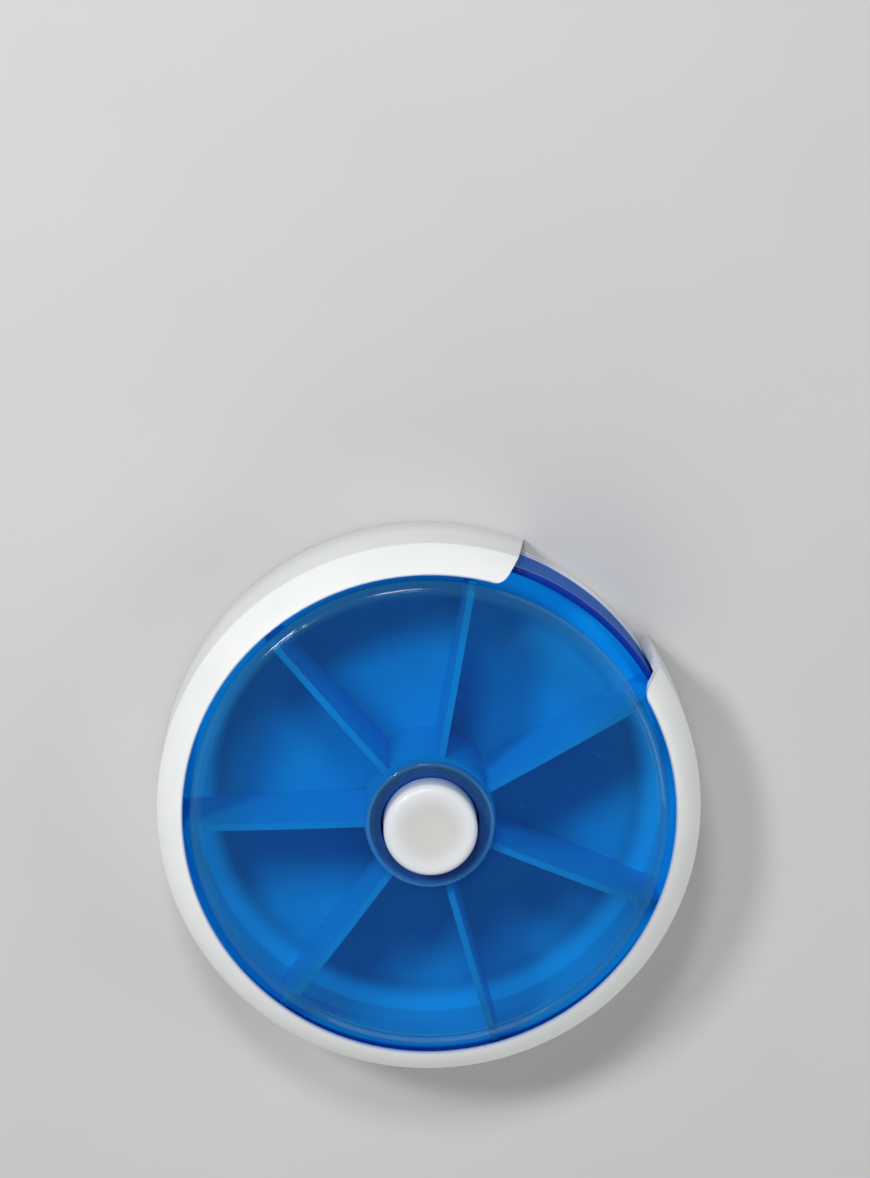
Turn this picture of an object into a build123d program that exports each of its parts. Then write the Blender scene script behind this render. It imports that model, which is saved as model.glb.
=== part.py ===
"""Push-button rotary pill dispenser, in millimetres.

A seven-compartment wheel turns inside a white ring. One compartment at a time faces the exit notch, and
the button in the hub frees the index spring that holds the wheel there. The origin is the centre of the
face that it rests on, +Z is up, and the exit notch faces -Y.
"""

from build123d import *

import math
import os

os.makedirs("parts", exist_ok=True)

# Ring: an upright wall, then a sloped shoulder up to the opening over the wheel.
housing_diameter = 115.0
housing_wall = 2.3
wall_height = 21.8
wall_lean = 0.5
shoulder_run = 5.7
shoulder_rise = 6.1
shoulder_bulge = 0.6
shoulder_thickness = 2.0
shoulder_edge_radius = 0.8
opening_edge_height = 1.0
opening_edge_radius = 0.25
opening_bevel_run = 1.8
foot_edge_radius = 0.5

# Exit notch through the ring. Its ends lean apart from the foot up to the shoulder.
exit_angle = -90.0
notch_width = 37.4
notch_end_lean = 1.8
notch_corner_radius = 3.5

# Base plate, with the post that the wheel turns on.
plate_thickness = 1.6
plate_edge_chamfer = 0.4
plate_gap = 0.1
post_radius = 6.0
post_bore_radius = 3.8
post_edge_chamfer = 0.5
post_overrun = 2.6
groove_depth = 0.6
groove_radius = 1.2
groove_gap = 0.4

# Wheel tray: floor, rim, hub and the walls between compartments.
compartment_count = 7
rest_turn = 2.1
tray_side_gap = 0.6
tray_wall = 1.4
tray_floor = 1.4
tray_floor_gap = 0.8
tray_foot_radius = 0.8
lip_gap = 1.2
lip_edge_radius = 0.5
divider_thickness = 1.4
divider_gap = 0.2
divider_sink = 0.7
hub_wall = 1.0
bush_wall = 1.9
bush_gap = 0.1
bush_rise = 5.2
thrust_gap = 0.2
key_width = 3.0
key_side_gap = 0.2

# Domed cover over the compartments.
cover_side_gap = 1.3
cover_thickness = 1.5
cover_dome_radius = 355.0
cover_edge_rise = 0.08
cover_skirt_drop = 2.5
cover_edge_radius = 2.4
cover_inner_edge_radius = 1.0
cover_seat_gap = 0.1
cover_hole_gap = 0.1

# Collar that holds the cover down and rims the well round the button.
well_gap = 0.6
collar_wall = 2.25
collar_fit = 0.1
collar_overhang = 0.8
collar_rise = 2.0
collar_land = 1.5
collar_chamfer_depth = 0.9
collar_edge_radius = 0.5
collar_seat_gap = 0.1

# Spring plate across the hub: it carries the button spring and catches the button's legs.
spring_plate_thickness = 1.4
spring_plate_seat = 0.6
spring_plate_fit = 0.1
spigot_height = 3.0
spigot_gap = 0.55
slot_clearance = 0.3

# Button: cap, skirt and three hooked legs.
button_radius = 9.65
button_stand = 4.6
button_rim_radius = 1.6
button_dish_depth = 0.8
button_dish_radius = 7.6
button_dish_edge_radius = 3.0
button_cap_thickness = 2.3
button_skirt_wall = 1.2
button_skirt_gap = 0.5
button_travel = 3.0
leg_post_gap = 0.8
leg_thickness = 1.4
leg_width = 4.0
leg_tip_gap = 0.4
leg_tip_length = 1.2
leg_tip_taper = 0.8
hook_reach = 0.9
hook_height = 1.8
hook_gap = 0.2

# Button spring.
spring_radius = 4.4
spring_wire = 0.7
spring_turns = 6.5
spring_end_gap = 0.05

# Index spring: a ring with three sprung arms, whose noses drop into the post's grooves.
index_positions = (0, 2, 5)
index_ring_wall = 1.0
index_ring_fit = 0.1
index_bush_gap = 1.0
index_thickness = 2.0
index_seat_gap = 0.1
arm_gap = 0.75
arm_thickness = 0.9
arm_sweep = 62.0
nose_gap = 0.1
tongue_width = 2.0
ramp_wedge = 0.6
ramp_width = 1.2
ramp_gap = 0.4

# Radii, worked out from the sizes above.
housing_radius = housing_diameter / 2
housing_inner_radius = housing_radius - housing_wall
shoulder_radius = housing_radius - wall_lean
opening_radius = shoulder_radius - shoulder_run
plate_radius = housing_inner_radius - plate_gap
tray_radius = housing_inner_radius - tray_side_gap
tray_inner_radius = tray_radius - tray_wall
cover_radius = opening_radius - cover_side_gap
cover_inner_radius = cover_radius - cover_thickness
collar_bore_radius = button_radius + well_gap
collar_spigot_radius = collar_bore_radius + collar_wall
collar_flange_radius = collar_spigot_radius + collar_overhang
cover_hole_radius = collar_spigot_radius + cover_hole_gap
hub_inner_radius = collar_spigot_radius + collar_fit
hub_outer_radius = hub_inner_radius + hub_wall
hub_step_radius = hub_inner_radius - spring_plate_seat
spring_plate_radius = hub_inner_radius - spring_plate_fit
bush_bore_radius = post_radius + bush_gap
bush_radius = bush_bore_radius + bush_wall
groove_centre_radius = post_radius - groove_depth + groove_radius
leg_inner_radius = post_radius + leg_post_gap
leg_outer_radius = leg_inner_radius + leg_thickness
spigot_radius = spring_radius - spring_wire / 2 - spigot_gap
index_ring_radius = hub_step_radius - index_ring_fit
index_ring_inner_radius = index_ring_radius - index_ring_wall
arm_radius = index_ring_inner_radius - arm_gap - arm_thickness / 2
nose_radius = groove_radius - nose_gap
ramp_inner_radius = leg_outer_radius - ramp_wedge

# Slope of the shoulder, and how far its underside lies below its top along the axis.
shoulder_length = math.hypot(shoulder_run, shoulder_rise)
shoulder_slope = shoulder_rise / shoulder_run
shoulder_drop = shoulder_thickness * shoulder_length / shoulder_run

# Heights of the ring and of the mechanism, stacked up from the base.
opening_height = wall_height + shoulder_rise
bush_bottom = plate_thickness + thrust_gap
tray_bottom = plate_thickness + tray_floor_gap
floor_top = tray_bottom + tray_floor
bush_top = floor_top + bush_rise
index_bottom = bush_top + index_bush_gap
index_top = index_bottom + index_thickness
index_seat_top = index_bottom - index_seat_gap
groove_bottom = index_bottom - groove_gap
post_top = index_top + post_overrun
leg_bottom = index_top + button_travel + leg_tip_gap
ramp_top = leg_bottom - ramp_gap
hook_bottom = leg_bottom + leg_tip_length
hook_top = hook_bottom + hook_height
spring_plate_bottom = hook_top + hook_gap
spring_plate_top = spring_plate_bottom + spring_plate_thickness
skirt_bottom = spring_plate_top + button_travel + button_skirt_gap
cover_edge_height = opening_height + cover_edge_rise
cover_skirt_bottom = opening_height - cover_skirt_drop

# Angles round the axis. The wheel clicks to rest a little past the middle of the exit notch.
step_angle = 360 / compartment_count
rest_angle = exit_angle + rest_turn
groove_angles = [rest_angle + step_angle * number for number in range(compartment_count)]
divider_angles = [angle + step_angle / 2 for angle in groove_angles]
index_angles = [groove_angles[position] for position in index_positions]


def shoulder_underside(radius):
    """Height of the flat underside of the ring's shoulder at a radius."""
    return wall_height - shoulder_drop + (shoulder_radius - radius) * shoulder_slope


def dome_height(radius):
    """Height of the cover's top at a radius, rising inward from its edge."""
    return cover_edge_height + (cover_radius**2 - radius**2) / (2 * cover_dome_radius)


def dome_arc(start_radius, end_radius, drop):
    """Arc that follows the dome a given distance below its top. It is drawn in the active line."""
    radii = (start_radius, (start_radius + end_radius) / 2, end_radius)
    return ThreePointArc(*[(radius, dome_height(radius) - drop) for radius in radii])


def corner_near(sketch, x, y):
    """Corner of a sketch that lies nearest to a point in its plane."""
    return sketch.vertices().sort_by_distance((x, y, 0))[0]


def distance_from_axis(corner):
    """How far a corner of a level sketch lies from the axis."""
    return math.hypot(corner.X, corner.Y)


def radial_plane(angle):
    """Upright plane through the axis: its x runs outward at an angle, and its y runs up."""
    outward = Vector(math.cos(math.radians(angle)), math.sin(math.radians(angle)), 0)
    return Plane(origin=(0, 0, 0), x_dir=outward, z_dir=outward.cross(Vector(0, 0, 1)))


def level_plane(angle, height):
    """Level plane at a height, its x running outward at an angle."""
    return Plane.XY.offset(height).rotated((0, 0, angle))


lip_height = shoulder_underside(tray_radius) - lip_gap
divider_shoulder = cover_skirt_bottom - divider_gap
collar_seat = dome_height(collar_spigot_radius) + collar_seat_gap
collar_top = dome_height(collar_flange_radius) + collar_rise
collar_bottom = spring_plate_top + collar_seat_gap
hub_top = dome_height(hub_outer_radius) - cover_thickness - cover_seat_gap
button_top = collar_top + button_stand
cap_bottom = button_top - button_cap_thickness
spring_bottom = spring_plate_top + spring_end_gap
spring_top = cap_bottom - spring_end_gap

# White ring: one turned profile, then the exit notch through its shoulder and through its wall.
with BuildPart() as housing_ring:
    bulge_share = shoulder_bulge / shoulder_length
    shoulder_middle = (
        shoulder_radius - shoulder_run / 2 + shoulder_rise * bulge_share,
        wall_height + shoulder_rise / 2 + shoulder_run * bulge_share,
    )
    bevel_radius = opening_radius + opening_bevel_run
    bevel_foot = (bevel_radius, shoulder_underside(bevel_radius))
    wall_underside = (housing_inner_radius, shoulder_underside(housing_inner_radius))
    with BuildSketch(Plane.XZ) as ring_profile:
        with BuildLine():
            Polyline((housing_inner_radius, 0), (housing_radius, 0), (shoulder_radius, wall_height))
            ThreePointArc((shoulder_radius, wall_height), shoulder_middle, (opening_radius, opening_height))
            Line((opening_radius, opening_height), (opening_radius, opening_height - opening_edge_height))
            Polyline((opening_radius, opening_height - opening_edge_height), bevel_foot, wall_underside)
            Line(wall_underside, (housing_inner_radius, 0))
        make_face()
        fillet(corner_near(ring_profile, housing_radius, 0), foot_edge_radius)
        fillet(corner_near(ring_profile, opening_radius, opening_height), opening_edge_radius)
        fillet(corner_near(ring_profile, shoulder_radius, wall_height), shoulder_edge_radius)
    revolve(axis=Axis.Z)
    with BuildSketch(level_plane(exit_angle, wall_height)) as notch_plan:
        Circle(opening_radius)
        with Locations((housing_radius, 0)):
            Rectangle(housing_radius, notch_width)
        notch_corners = notch_plan.vertices().sort_by(distance_from_axis)[:2]
        fillet(notch_corners, notch_corner_radius)
    extrude(amount=housing_radius, mode=Mode.SUBTRACT)
    with BuildSketch(radial_plane(exit_angle + 90)):
        with BuildLine():
            Polyline(
                (notch_end_lean - notch_width / 2, 0),
                (notch_width / 2 - notch_end_lean, 0),
                (notch_width / 2, wall_height),
                (-notch_width / 2, wall_height),
                close=True,
            )
        make_face()
    extrude(amount=2 * housing_radius, mode=Mode.SUBTRACT)
housing_ring.part.label = "housing_ring"

# Base plate and the grooved post at its centre.
with BuildPart() as base_plate:
    with BuildSketch(Plane.XZ):
        with BuildLine():
            Polyline(
                (0, 0),
                (plate_radius - plate_edge_chamfer, 0),
                (plate_radius, plate_edge_chamfer),
                (plate_radius, plate_thickness),
                (post_radius, plate_thickness),
                (post_radius, post_top - post_edge_chamfer),
                (post_radius - post_edge_chamfer, post_top),
                (post_bore_radius, post_top),
                (post_bore_radius, plate_thickness),
                (0, plate_thickness),
                close=True,
            )
        make_face()
    revolve(axis=Axis.Z)
    for angle in groove_angles:
        with BuildSketch(level_plane(angle, groove_bottom)):
            with Locations((groove_centre_radius, 0)):
                Circle(groove_radius)
        extrude(amount=post_top - groove_bottom, mode=Mode.SUBTRACT)
base_plate.part.label = "base_plate"

# Tray: floor, rim and hub in one turned profile, then the dividers and the keyways in the hub.
with BuildPart() as carousel_tray:
    with BuildSketch(Plane.XZ) as tray_profile:
        with BuildLine():
            Polyline(
                (bush_bore_radius, bush_bottom),
                (bush_radius, bush_bottom),
                (bush_radius, tray_bottom),
                (tray_radius, tray_bottom),
                (tray_radius, lip_height),
                (tray_inner_radius, lip_height),
                (tray_inner_radius, floor_top),
                (hub_outer_radius, floor_top),
                (hub_outer_radius, hub_top),
                (hub_inner_radius, hub_top),
                (hub_inner_radius, spring_plate_bottom),
                (hub_step_radius, spring_plate_bottom),
                (hub_step_radius, index_seat_top),
                (index_ring_inner_radius, index_seat_top),
                (index_ring_inner_radius, floor_top),
                (bush_radius, floor_top),
                (bush_radius, bush_top),
                (bush_bore_radius, bush_top),
                close=True,
            )
        make_face()
        fillet(corner_near(tray_profile, tray_radius, tray_bottom), tray_foot_radius)
        lip_radii = (tray_inner_radius, tray_radius)
        lip_corners = [corner_near(tray_profile, radius, lip_height) for radius in lip_radii]
        fillet(lip_corners, lip_edge_radius)
    revolve(axis=Axis.Z)
    divider_inner = (hub_inner_radius + hub_outer_radius) / 2
    divider_outer = (tray_inner_radius + tray_radius) / 2
    divider_drop = cover_thickness + divider_gap
    divider_end = cover_inner_radius - cover_inner_edge_radius
    for angle in divider_angles:
        with BuildSketch(radial_plane(angle)):
            with BuildLine():
                dome_arc(divider_inner, divider_end, divider_drop)
                Polyline(
                    (divider_end, dome_height(divider_end) - divider_drop),
                    (cover_inner_radius - divider_gap, divider_shoulder),
                    (cover_radius, divider_shoulder),
                    (divider_outer, lip_height - divider_sink),
                    (divider_outer, floor_top - divider_sink),
                    (divider_inner, floor_top - divider_sink),
                    (divider_inner, dome_height(divider_inner) - divider_drop),
                )
            make_face()
        extrude(amount=divider_thickness / 2, both=True)
    for angle in index_angles:
        with BuildSketch(level_plane(angle, index_seat_top)):
            with Locations((hub_step_radius, 0)):
                Rectangle(2 * (hub_inner_radius - hub_step_radius), key_width)
        extrude(amount=spring_plate_bottom - index_seat_top, mode=Mode.SUBTRACT)
carousel_tray.part.label = "carousel_tray"

# Domed cover with a rounded edge and a short skirt.
with BuildPart() as carousel_cover:
    cover_inner_edge_height = dome_height(cover_inner_radius) - cover_thickness
    with BuildSketch(Plane.XZ) as cover_profile:
        with BuildLine():
            dome_arc(cover_hole_radius, cover_radius, 0)
            Polyline(
                (cover_radius, cover_edge_height),
                (cover_radius, cover_skirt_bottom),
                (cover_inner_radius, cover_skirt_bottom),
                (cover_inner_radius, cover_inner_edge_height),
            )
            dome_arc(cover_inner_radius, cover_hole_radius, cover_thickness)
            Line(
                (cover_hole_radius, dome_height(cover_hole_radius) - cover_thickness),
                (cover_hole_radius, dome_height(cover_hole_radius)),
            )
        make_face()
        outer_corner = corner_near(cover_profile, cover_radius, cover_edge_height)
        fillet(outer_corner, cover_edge_radius)
        inner_corner = corner_near(cover_profile, cover_inner_radius, cover_inner_edge_height)
        fillet(inner_corner, cover_inner_edge_radius)
    revolve(axis=Axis.Z)
carousel_cover.part.label = "carousel_cover"

# Collar: a spigot inside the hub, and a rounded flange over the edge of the cover.
with BuildPart() as hub_collar:
    with BuildSketch(Plane.XZ) as collar_profile:
        with BuildLine():
            Polyline(
                (collar_bore_radius, collar_bottom),
                (collar_spigot_radius, collar_bottom),
                (collar_spigot_radius, collar_seat),
                (collar_flange_radius, collar_seat),
                (collar_flange_radius, collar_top),
                (collar_flange_radius - collar_land, collar_top),
                (collar_bore_radius, collar_top - collar_chamfer_depth),
                close=True,
            )
        make_face()
        land_radii = (collar_flange_radius - collar_land, collar_flange_radius)
        land_corners = [corner_near(collar_profile, radius, collar_top) for radius in land_radii]
        fillet(land_corners, collar_edge_radius)
    revolve(axis=Axis.Z)
hub_collar.part.label = "hub_collar"

# Spring plate: slotted for the button's legs, with a spigot for its spring and three hold-down tabs.
with BuildPart() as spring_plate:
    with BuildSketch(Plane.XY.offset(spring_plate_bottom)):
        Circle(spring_plate_radius)
    extrude(amount=spring_plate_thickness)
    with BuildSketch(Plane.XY.offset(spring_plate_top)):
        Circle(spigot_radius)
    extrude(amount=spigot_height)
    for angle in index_angles:
        with BuildSketch(level_plane(angle, spring_plate_bottom)):
            with Locations(((leg_inner_radius + leg_outer_radius) / 2, 0)):
                Rectangle(leg_thickness + 2 * slot_clearance, leg_width + 2 * slot_clearance)
        extrude(amount=spring_plate_thickness, mode=Mode.SUBTRACT)
        tab_height = spring_plate_bottom - index_top - index_seat_gap
        with BuildSketch(level_plane(angle, spring_plate_bottom - tab_height)):
            with Locations(((index_ring_inner_radius + spring_plate_radius) / 2, 0)):
                Rectangle(spring_plate_radius - index_ring_inner_radius, key_width - 2 * key_side_gap)
            Circle(spring_plate_radius, mode=Mode.INTERSECT)
        extrude(amount=tab_height)
spring_plate.part.label = "spring_plate"

# Index spring, laid flat on the hub's ledge.
with BuildPart() as index_spring:
    key_outer_radius = hub_inner_radius - index_ring_fit
    with BuildSketch(Plane.XY.offset(index_bottom)):
        Circle(index_ring_radius)
        Circle(index_ring_inner_radius, mode=Mode.SUBTRACT)
    extrude(amount=index_thickness)
    for angle in index_angles:
        with BuildSketch(level_plane(angle, index_bottom)):
            with BuildLine(mode=Mode.PRIVATE) as arm:
                CenterArc((0, 0), arm_radius, 0, arm_sweep)
            SlotArc(arm.edge(), arm_thickness)
            with Locations((groove_centre_radius, 0)):
                Circle(nose_radius)
            with Locations(((groove_centre_radius + arm_radius) / 2, 0)):
                Rectangle(arm_radius - groove_centre_radius, tongue_width)
            with Locations(((index_ring_inner_radius + key_outer_radius) / 2, 0)):
                Rectangle(key_outer_radius - index_ring_inner_radius, key_width - 2 * key_side_gap)
        extrude(amount=index_thickness)
        with BuildSketch(level_plane(angle + arm_sweep, index_bottom)):
            with Locations(((arm_radius + index_ring_radius) / 2, 0)):
                Rectangle(index_ring_radius - arm_radius - arm_thickness / 2, tongue_width)
        extrude(amount=index_thickness)
        with BuildSketch(level_plane(angle, index_top)):
            with Locations((ramp_inner_radius + ramp_width / 2, 0)):
                Rectangle(ramp_width, tongue_width)
        extrude(amount=ramp_top - index_top)
index_spring.part.label = "index_spring"

# Button: a cap with a dished top and a skirt, and three legs hooked under the spring plate.
with BuildPart() as push_button:
    dish_sphere_radius = (button_dish_radius**2 + button_dish_depth**2) / (2 * button_dish_depth)
    dish_bottom = button_top - button_dish_depth
    dish_middle_rise = dish_sphere_radius - math.sqrt(dish_sphere_radius**2 - (button_dish_radius / 2) ** 2)
    skirt_inner_radius = button_radius - button_skirt_wall
    with BuildSketch(Plane.XZ) as cap_profile:
        with BuildLine():
            Polyline(
                (0, dish_bottom),
                (0, cap_bottom),
                (skirt_inner_radius, cap_bottom),
                (skirt_inner_radius, skirt_bottom),
                (button_radius, skirt_bottom),
                (button_radius, button_top),
                (button_dish_radius, button_top),
            )
            ThreePointArc(
                (button_dish_radius, button_top),
                (button_dish_radius / 2, dish_bottom + dish_middle_rise),
                (0, dish_bottom),
            )
        make_face()
        fillet(corner_near(cap_profile, button_radius, button_top), button_rim_radius)
        fillet(corner_near(cap_profile, button_dish_radius, button_top), button_dish_edge_radius)
    revolve(axis=Axis.Z)
    for angle in index_angles:
        with BuildSketch(radial_plane(angle)):
            with BuildLine():
                Polyline(
                    (leg_inner_radius, cap_bottom),
                    (leg_inner_radius, leg_bottom),
                    (leg_outer_radius - leg_tip_taper, leg_bottom),
                    (leg_outer_radius + hook_reach, hook_bottom + hook_height / 2),
                    (leg_outer_radius + hook_reach, hook_top),
                    (leg_outer_radius, hook_top),
                    (leg_outer_radius, cap_bottom),
                    close=True,
                )
            make_face()
        extrude(amount=leg_width / 2, both=True)
push_button.part.label = "push_button"

# Button spring between the spring plate and the underside of the cap.
with BuildPart() as button_spring:
    coil_height = spring_top - spring_bottom - spring_wire
    with BuildLine(Plane.XY.offset(spring_bottom + spring_wire / 2)) as coil:
        Helix(pitch=coil_height / spring_turns, height=coil_height, radius=spring_radius)
    with BuildSketch(Plane(origin=coil.line @ 0, z_dir=coil.line % 0)):
        Circle(spring_wire / 2)
    sweep(path=coil.line, is_frenet=True)
button_spring.part.label = "button_spring"

pieces = (
    housing_ring,
    base_plate,
    carousel_tray,
    carousel_cover,
    hub_collar,
    spring_plate,
    index_spring,
    push_button,
    button_spring,
)
for piece in pieces:
    export_step(piece.part, f"parts/{piece.part.label}.step")
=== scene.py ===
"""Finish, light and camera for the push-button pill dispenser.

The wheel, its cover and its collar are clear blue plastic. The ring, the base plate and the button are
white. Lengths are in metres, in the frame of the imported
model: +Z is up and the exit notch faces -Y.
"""

import math

import bmesh
import bpy
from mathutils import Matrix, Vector


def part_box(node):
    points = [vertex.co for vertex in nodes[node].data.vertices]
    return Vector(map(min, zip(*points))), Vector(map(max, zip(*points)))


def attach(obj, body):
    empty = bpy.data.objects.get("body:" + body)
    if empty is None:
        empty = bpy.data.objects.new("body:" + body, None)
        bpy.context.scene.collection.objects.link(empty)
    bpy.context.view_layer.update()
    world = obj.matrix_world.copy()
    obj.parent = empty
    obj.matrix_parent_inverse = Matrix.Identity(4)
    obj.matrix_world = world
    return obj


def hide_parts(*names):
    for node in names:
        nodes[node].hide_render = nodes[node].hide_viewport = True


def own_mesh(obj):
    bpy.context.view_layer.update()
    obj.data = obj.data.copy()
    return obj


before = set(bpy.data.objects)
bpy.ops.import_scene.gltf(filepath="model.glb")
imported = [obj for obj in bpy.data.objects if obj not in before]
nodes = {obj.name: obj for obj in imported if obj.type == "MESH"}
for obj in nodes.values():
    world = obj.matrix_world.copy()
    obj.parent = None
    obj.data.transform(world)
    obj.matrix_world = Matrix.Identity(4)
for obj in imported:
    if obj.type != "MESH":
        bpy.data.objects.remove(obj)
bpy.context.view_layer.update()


def outer_radius(name):
    """Largest distance of a turned piece from the axis."""
    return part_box(name)[1].x


def from_axis(corner):
    """Distance of a mesh corner from the axis."""
    return math.hypot(corner.co.x, corner.co.y)


TRAY_RADIUS = outer_radius("carousel_tray")
COVER_RADIUS = outer_radius("carousel_cover")
COLLAR_RADIUS = outer_radius("hub_collar")
COLLAR_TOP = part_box("hub_collar")[1].z
BUTTON_RADIUS = outer_radius("push_button")
OPENING_RADIUS = min(from_axis(corner) for corner in nodes["housing_ring"].data.vertices)
RIM_WALL = 0.0014
TRAY_FLOOR = 0.0038
tray_corners = nodes["carousel_tray"].data.vertices
rim_corners = [corner for corner in tray_corners if from_axis(corner) > TRAY_RADIUS - RIM_WALL]
RIM_TOP = max(corner.co.z for corner in rim_corners)

# The camera looks from the notch side, and image-up lies at this angle from +X.
UP_ANGLE = -52.2

# Plastics bend light by this index.
PLASTIC_INDEX = 1.49

# Sockets of the Mix node that carry colours.
FIRST_COLOUR, SECOND_COLOUR, MIXED_COLOUR = 6, 7, 2

# Each lamp's turn from image-up and its elevation in degrees, its distance, size and power in watts.
LAMPS = {
    "left_key_lamp": (48, 48, 0.9, 0.16, 3.7),
    "top_key_lamp": (10, 50, 0.9, 0.16, 2.5),
    "low_lamp": (180, 30, 1.2, 0.8, 3.6),
    "left_lamp": (90, 30, 1.2, 0.6, 0.5),
    "right_lamp": (-90, 30, 1.2, 0.6, 3.0),
}
SKY_STRENGTH = 0.22

CAMERA_LENS, CAMERA_SENSOR = 91.68, 36.0
CAMERA_PLACE = (0.11416, -0.12804, 0.62829)
CAMERA_TURN = (-11.5412, -1.1557, -141.9685)


class Wire:
    """One output of a shader node, with the operators that join it to other nodes."""

    def __init__(self, finish, socket):
        self.finish = finish
        self.socket = socket

    def out(self, name):
        """Another output of the same node."""
        return Wire(self.finish, self.socket.node.outputs[name])

    def calc(self, operation, *values):
        """Math node on these values."""
        return self.finish.node("ShaderNodeMath", {"operation": operation}, dict(enumerate(values)))

    def __add__(self, other):
        return self.calc("ADD", self, other)

    def __radd__(self, other):
        return self.calc("ADD", other, self)

    def __sub__(self, other):
        return self.calc("SUBTRACT", self, other)

    def __rsub__(self, other):
        return self.calc("SUBTRACT", other, self)

    def __mul__(self, other):
        return self.calc("MULTIPLY", self, other)

    def __rmul__(self, other):
        return self.calc("MULTIPLY", other, self)

    def __pow__(self, other):
        return self.calc("POWER", self, other)


class Finish:
    """Material of one plastic or metal, built node by node."""

    def __init__(self, name):
        self.material = bpy.data.materials.new(name)
        self.material.use_nodes = True
        self.tree = self.material.node_tree
        self.tree.nodes.clear()

    def node(self, kind, settings=None, inputs=None, out=0):
        """Adds a node, sets it, fills its inputs with values or wires, and returns an output."""
        made = self.tree.nodes.new(kind)
        for name, value in (settings or {}).items():
            setattr(made, name, value)
        for name, value in (inputs or {}).items():
            if isinstance(value, Wire):
                self.tree.links.new(value.socket, made.inputs[name])
            else:
                made.inputs[name].default_value = value
        return Wire(self, made.outputs[out])

    def place(self):
        """Where a point of the piece lies, in metres."""
        return self.node("ShaderNodeTexCoord", out="Object")

    def radius(self):
        """Distance from the axis."""
        place = self.node("ShaderNodeSeparateXYZ", None, {"Vector": self.place()})
        return (place * place + place.out("Y") * place.out("Y")) ** 0.5

    def height(self):
        """Height above the foot of the part."""
        return self.node("ShaderNodeSeparateXYZ", None, {"Vector": self.place()}, "Z")

    def noise(self, scale, detail=3.0, roughness=0.5, vector=None):
        """Noise of a given fineness, in features per metre."""
        inputs = {"Vector": vector or self.place(), "Scale": scale}
        inputs.update({"Detail": detail, "Roughness": roughness})
        return self.node("ShaderNodeTexNoise", None, inputs)

    def between(self, value, low, high, start=0.0, end=1.0):
        """Smooth step from start to end as a value goes from low to high."""
        inputs = {"Value": value, "From Min": low, "From Max": high, "To Min": start, "To Max": end}
        return self.node("ShaderNodeMapRange", {"interpolation_type": "SMOOTHSTEP"}, inputs)

    def cloud(self, scale=45.0):
        """Soft patches, from 0 to 1."""
        return self.between(self.noise(scale, 4.0, 0.6), 0.32, 0.68)

    def hairlines(self, angle, length=0.02, fineness=2600.0):
        """Thin straight scratches that lie at an angle, from 0 to 1."""
        turned, stretch = (0.0, 0.0, math.radians(angle)), (length, 1.0, length)
        along = {"Vector": self.place(), "Rotation": turned, "Scale": stretch}
        stretched = self.node("ShaderNodeMapping", None, along)
        lines = self.between(self.noise(fineness, 1.0, 0.4, stretched), 0.70, 0.76)
        return lines * self.between(self.noise(70.0, 2.0, 0.5), 0.50, 0.62)

    def blend(self, share, first, second):
        """Mix of two colours."""
        made = self.node("ShaderNodeMix", {"data_type": "RGBA"}, {"Factor": share}, MIXED_COLOUR)
        for number, value in ((FIRST_COLOUR, first), (SECOND_COLOUR, second)):
            socket = made.socket.node.inputs[number]
            if isinstance(value, Wire):
                self.tree.links.new(value.socket, socket)
            else:
                socket.default_value = value
        return made

    def grain(self, height, depth, before=None):
        """Surface relief from a height, with its depth in metres."""
        inputs = {"Height": height, "Distance": depth}
        if before is not None:
            inputs["Normal"] = before
        return self.node("ShaderNodeBump", None, inputs)

    def surface(self, **inputs):
        """Principled surface. Its sockets are named with an underscore for each space."""
        named = {name.replace("_", " "): value for name, value in inputs.items()}
        return self.node("ShaderNodeBsdfPrincipled", None, {"IOR": PLASTIC_INDEX, **named})

    def see_through(self, tint):
        """Tinted surface that light passes straight through."""
        return self.node("ShaderNodeBsdfTransparent", None, {"Color": tint})

    def layered(self, share, under, over):
        """Two surfaces mixed, with the second one's share."""
        return self.node("ShaderNodeMixShader", None, {0: share, 1: under, 2: over})

    def close(self, shader):
        """Wires the finished surface to the output."""
        output = self.tree.nodes.new("ShaderNodeOutputMaterial")
        self.tree.links.new(shader.socket, output.inputs["Surface"])
        return self.material


def rgb(red, green, blue):
    """Linear colour with full alpha."""
    return (red, green, blue, 1.0)


def moulded_white(finish, colour, roughness, grain_depth):
    """Closes a finish as glossy white plastic with a fine moulded texture and a few rubbed patches."""
    texture = finish.grain(finish.noise(2600.0, 2.0, 0.6), grain_depth)
    wavy = finish.grain(finish.noise(120.0, 2.0, 0.5), 0.00002, texture)
    speck = finish.between(finish.noise(1900.0, 2.0, 0.5), 0.3, 0.7, roughness - 0.05, roughness + 0.05)
    rubbed = finish.between(finish.noise(150.0, 6.0, 0.7), 0.56, 0.66, 0.0, 0.10)
    shader = finish.surface(
        Base_Color=colour,
        Roughness=speck + rubbed + 0.15 * finish.hairlines(35.0),
        Normal=wavy,
        Coat_Weight=0.15,
        Coat_Roughness=0.12,
    )
    return finish.close(shader)


def ring_plastic():
    """White of the ring. Its lip is painted blue as a reflection of the cover, and it is painted darker
    toward its foot as shade.
    """
    finish = Finish("ring_white")
    radius, height = finish.radius(), finish.height()
    white = finish.blend(finish.cloud(), rgb(0.83, 0.85, 0.845), rgb(0.79, 0.81, 0.81))
    # Painted shade: the white is darker toward the foot of the ring.
    foot = finish.between(height, 0.001, 0.011)
    white = finish.blend(foot, rgb(0.66, 0.67, 0.68), white)
    # Painted reflection: the lip at the opening is painted blue, for the blue of the cover reflected in
    # it.
    lip = finish.between(radius, OPENING_RADIUS + 0.0001, OPENING_RADIUS + 0.0006)
    return moulded_white(finish, finish.blend(lip, rgb(0.34, 0.44, 0.64), white), 0.34, 0.000008)


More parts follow.
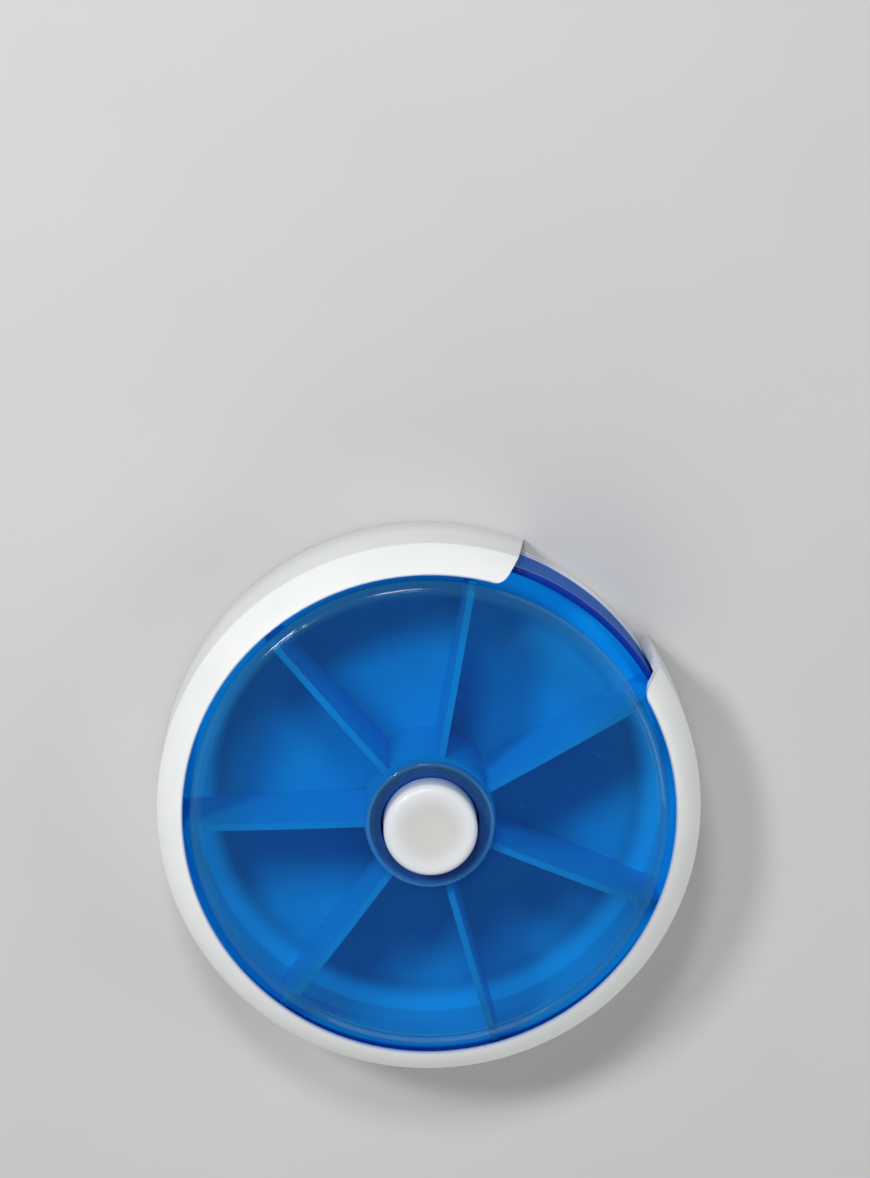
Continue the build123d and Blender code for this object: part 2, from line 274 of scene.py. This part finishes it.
def button_plastic():
    """White of the button, painted darker in its dished centre as shade, and painted bluish down in the
    collar as shade.
    """
    finish = Finish("button_white")
    radius, height = finish.radius(), finish.height()
    # Painted shade: the dished centre is darker than the rim.
    painted_shade_dish = finish.blend(finish.cloud(90.0), rgb(0.62, 0.625, 0.60), rgb(0.585, 0.59, 0.57))
    rim_white = finish.blend(finish.cloud(90.0), rgb(0.72, 0.745, 0.78), rgb(0.69, 0.715, 0.75))
    rim = finish.between(radius, 0.45 * BUTTON_RADIUS, 0.88 * BUTTON_RADIUS)
    # Painted shade: below the collar's top the white side is painted bluish, for the blue light in the
    # collar's well.
    side = finish.between(height, COLLAR_TOP - 0.0005, COLLAR_TOP + 0.0035)
    white = finish.blend(side, rgb(0.36, 0.50, 0.74), finish.blend(rim, painted_shade_dish, rim_white))
    return moulded_white(finish, white, 0.40, 0.000006)


def plain_white(name, light, dark, roughness, grain_depth):
    """White of a piece that is mostly out of sight."""
    finish = Finish(name)
    return moulded_white(finish, finish.blend(finish.cloud(), light, dark), roughness, grain_depth)


def tray_plastic():
    """Bright blue plastic of the wheel, which lets some light through.

    A painted glow along its outer edge stands in for light gathering there. Outside, its rim is painted
    dark as shade, and the lip is painted darkest.
    """
    finish = Finish("blue_tray_plastic")
    radius, height = finish.radius(), finish.height()
    walls = finish.between(height, TRAY_FLOOR + 0.0004, TRAY_FLOOR + 0.0014)
    outside = finish.between(radius, TRAY_RADIUS - 0.5 * RIM_WALL, TRAY_RADIUS - 0.2 * RIM_WALL)
    # Painted shade: the lip is painted dark navy, standing in for the deep colour seen down the clear
    # wall.
    lip = finish.between(height, RIM_TOP - 0.0022, RIM_TOP - 0.0008)
    lip = lip * finish.between(radius, TRAY_RADIUS - 1.15 * RIM_WALL, TRAY_RADIUS - 0.95 * RIM_WALL)
    facing = finish.node("ShaderNodeNewGeometry", out="True Normal")
    upward = finish.node("ShaderNodeSeparateXYZ", None, {"Vector": facing})
    tops = finish.between(upward.out("Z"), 0.8, 0.95) * walls
    floor_blue = finish.blend(finish.cloud(60.0), rgb(0.003, 0.35, 0.80), rgb(0.003, 0.31, 0.74))
    # Painted shade: the floor is darker toward its outer edge.
    painted_outer_shade = finish.between(radius, 0.84 * COVER_RADIUS, 0.92 * COVER_RADIUS)
    floor_blue = finish.blend(painted_outer_shade, floor_blue, rgb(0.003, 0.25, 0.60))
    # Painted light: the divider and hub walls are brighter than the floor and the divider tops.
    blue = finish.blend(walls, floor_blue, rgb(0.003, 0.46, 1.0))
    blue = finish.blend(tops, blue, rgb(0.004, 0.32, 0.78))
    blue = finish.blend(lip, blue, rgb(0.002, 0.03, 0.34))
    # Painted glow: emission along the outer floor and the rim's inner wall stands in for light.
    painted_floor_glow = 0.88 * finish.between(radius, 0.88 * COVER_RADIUS, 0.98 * COVER_RADIUS)
    painted_floor_glow = painted_floor_glow * finish.between(radius, COVER_RADIUS, COVER_RADIUS + 0.0010, 1.0, 0.55)
    rim_start, rim_end = TRAY_RADIUS - 1.6 * RIM_WALL, TRAY_RADIUS - 1.1 * RIM_WALL
    painted_rim_glow = finish.between(radius, rim_start, rim_end, 0.0, 0.20)
    painted_glow = painted_floor_glow * (1.0 - walls) + painted_rim_glow * walls * (1.0 - outside) * (1.0 - lip)
    unlit, lit = rgb(0.0, 0.0, 0.0), rgb(0.0, 0.150, 0.40)
    relief = finish.grain(finish.noise(1800.0, 2.0, 0.5), 0.000006)
    body = finish.surface(
        Base_Color=blue,
        Roughness=0.27 + 0.05 * finish.cloud(60.0),
        Normal=relief,
        Specular_IOR_Level=0.2,
        Emission_Color=finish.blend(painted_glow, unlit, lit),
        Emission_Strength=1.0,
    )
    # Painted shade: the outside of the rim is a dark, matt blue.
    painted_shade_outside = finish.node("ShaderNodeBsdfDiffuse", None, {"Color": rgb(0.022, 0.046, 0.37)})
    through = finish.node("ShaderNodeBsdfTranslucent", None, {"Color": rgb(0.003, 0.42, 0.95)})
    clear = finish.see_through(rgb(0.12, 0.45, 0.9))
    shader = finish.layered(0.75 * outside * (1.0 - lip), body, painted_shade_outside)
    shader = finish.layered(0.05 + 0.15 * walls * (1.0 - outside), shader, through)
    return finish.close(finish.layered(0.04, shader, clear))


def clear_plastic(finish, tint, deep_tint, depth, blue, haze, rough):
    """Closes a finish as see-through blue plastic with a glossy skin, clearest where seen face on.

    Its tint goes to the deep one as depth goes from 0 to 1, and deeper still where seen edge on.
    """
    relief = finish.grain(finish.noise(900.0, 2.0, 0.5), 0.000002)
    facing = finish.node("ShaderNodeLayerWeight", None, {"Blend": 0.3}, "Facing")
    clear = finish.layered(depth, finish.see_through(tint), finish.see_through(deep_tint))
    edge_on = finish.see_through(rgb(0.38, 0.72, 0.95))
    clear = finish.layered(finish.between(facing, 0.30, 0.60), clear, edge_on)
    body = finish.surface(Base_Color=blue, Roughness=rough, Normal=relief)
    skin = finish.surface(Base_Color=rgb(1.0, 1.0, 1.0), Metallic=1.0, Roughness=rough, Normal=relief)
    gloss = finish.between(facing, 0.0, 0.8, 0.007, 0.05)
    share = haze + (1.0 - haze) * facing * 0.40
    return finish.close(finish.layered(gloss, finish.layered(share, clear, body), skin))


def cover_plastic():
    """Clear blue of the cover. Its rounded edge looks more solid, and fine scratches cross its top."""
    finish = Finish("blue_cover_plastic")
    radius = finish.radius()
    edge = finish.between(radius, COVER_RADIUS - 0.0034, COVER_RADIUS - 0.0018, 0.03, 0.12)
    marks = 0.05 * finish.hairlines(20.0) + 0.05 * finish.hairlines(-50.0, 0.03, 2100.0)
    dust = 0.10 * finish.between(finish.noise(800.0, 1.0, 0.5), 0.74, 0.80)
    rough = finish.between(finish.noise(30.0, 4.0, 0.6), 0.3, 0.7, 0.07, 0.13)
    # Painted shade: the tint deepens toward the cover's edge, over the outer floor seen through it.
    depth = finish.between(radius, 0.70 * COVER_RADIUS, 0.88 * COVER_RADIUS)
    haze = edge + 0.02 * depth + marks + dust
    pale, deep = rgb(0.72, 0.955, 0.985), rgb(0.68, 0.905, 0.915)
    return clear_plastic(finish, pale, deep, depth, rgb(0.04, 0.27, 0.48), haze, rough)


def collar_plastic():
    """Clear blue of the collar, deep in colour over its thick wall, with painted shade inward and a
    painted highlight along its rim.
    """
    finish = Finish("blue_collar_plastic")
    radius = finish.radius()
    rim = finish.between(radius, COLLAR_RADIUS - 0.0017, COLLAR_RADIUS - 0.0011)
    crest = finish.between(radius, COLLAR_RADIUS - 0.0011, COLLAR_RADIUS - 0.0005)
    crest = crest * finish.between(radius, COLLAR_RADIUS - 0.0001, COLLAR_RADIUS - 0.0004)
    # Painted shade and highlight: the body is darker inward and lighter along the rim.
    blue = finish.blend(rim, rgb(0.020, 0.125, 0.42), rgb(0.06, 0.30, 0.62))
    haze = 0.42 - 0.24 * rim + 0.22 * crest
    rough = finish.between(radius, COLLAR_RADIUS - 0.0021, COLLAR_RADIUS - 0.0018, 0.45, 0.10)
    pale, deep = rgb(0.30, 0.72, 0.95), rgb(0.20, 0.62, 0.94)
    return clear_plastic(finish, pale, deep, 1.0 - rim, blue, haze, rough)


def spring_metal():
    """Drawn steel wire."""
    finish = Finish("spring_wire")
    streak = finish.noise(700.0, 3.0, 0.6)
    shader = finish.surface(
        Base_Color=finish.blend(streak, rgb(0.58, 0.59, 0.61), rgb(0.50, 0.51, 0.53)),
        Metallic=1.0,
        Roughness=finish.between(streak, 0.3, 0.7, 0.22, 0.38),
    )
    return finish.close(shader)


base_light, base_dark = rgb(0.78, 0.79, 0.80), rgb(0.73, 0.74, 0.75)
plate_light, plate_dark = rgb(0.74, 0.75, 0.76), rgb(0.70, 0.71, 0.72)
plate_white = plain_white("plate_white", plate_light, plate_dark, 0.45, 0.000010)
finishes = {
    "housing_ring": ring_plastic(),
    "base_plate": plain_white("base_white", base_light, base_dark, 0.42, 0.000012),
    "carousel_tray": tray_plastic(),
    "carousel_cover": cover_plastic(),
    "hub_collar": collar_plastic(),
    "spring_plate": plate_white,
    "index_spring": plate_white,
    "push_button": button_plastic(),
    "button_spring": spring_metal(),
}
for name, material in finishes.items():
    for slot in nodes[name].material_slots:
        slot.material = material


def add_pressed_coil():
    """The button's spring again, as a copy hung on the carousel body, with the original hidden."""
    solid = nodes["button_spring"]
    coil = bpy.data.objects.new("pressed_coil", solid.data.copy())
    coil.matrix_world = solid.matrix_world.copy()
    bpy.context.scene.collection.objects.link(coil)
    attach(coil, "carousel")
    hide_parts("button_spring")
    heights = [(solid.matrix_world @ corner.co).z for corner in solid.data.vertices]
    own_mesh(coil)


add_pressed_coil()


def add_floor():
    """Pale floor, well outside the object on every side."""
    shape = bmesh.new()
    bmesh.ops.create_grid(shape, x_segments=1, y_segments=1, size=3.0)
    bmesh.ops.translate(shape, verts=shape.verts, vec=(0, 0, -0.0002))
    mesh = bpy.data.meshes.new("floor")
    shape.to_mesh(mesh)
    shape.free()
    floor = bpy.data.objects.new("floor", mesh)
    bpy.context.scene.collection.objects.link(floor)
    finish = Finish("floor_paint")
    grey = finish.blend(finish.cloud(6.0), rgb(0.58, 0.58, 0.58), rgb(0.56, 0.56, 0.56))
    floor.data.materials.append(finish.close(finish.surface(Base_Color=grey, Roughness=0.8)))


def add_lamp(name, turn, elevation, distance, size, power):
    """Square lamp that faces the middle of the object, turned in degrees from image-up."""
    lamp = bpy.data.lights.new(name, "AREA")
    lamp.size = size
    lamp.energy = power
    light = bpy.data.objects.new(name, lamp)
    azimuth, height = math.radians(UP_ANGLE + turn), math.radians(elevation)
    flat = math.cos(height)
    towards = Vector((flat * math.cos(azimuth), flat * math.sin(azimuth), math.sin(height)))
    light.location = towards * distance
    light.rotation_euler = towards.to_track_quat("Z", "Y").to_euler()
    bpy.context.scene.collection.objects.link(light)


add_floor()
for name, settings in LAMPS.items():
    add_lamp(name, *settings)

world = bpy.data.worlds.new("studio")
world.use_nodes = True
world.node_tree.nodes["Background"].inputs["Color"].default_value = rgb(1.0, 1.0, 1.0)
world.node_tree.nodes["Background"].inputs["Strength"].default_value = SKY_STRENGTH
bpy.context.scene.world = world
bpy.context.scene.view_settings.view_transform = "Standard"

lens = bpy.data.cameras.new("camera")
lens.lens = CAMERA_LENS
lens.sensor_width = CAMERA_SENSOR
lens.clip_start = 0.01
camera = bpy.data.objects.new("camera", lens)
camera.location = CAMERA_PLACE
camera.rotation_euler = [math.radians(turn) for turn in CAMERA_TURN]
bpy.context.scene.collection.objects.link(camera)
bpy.context.scene.camera = camera
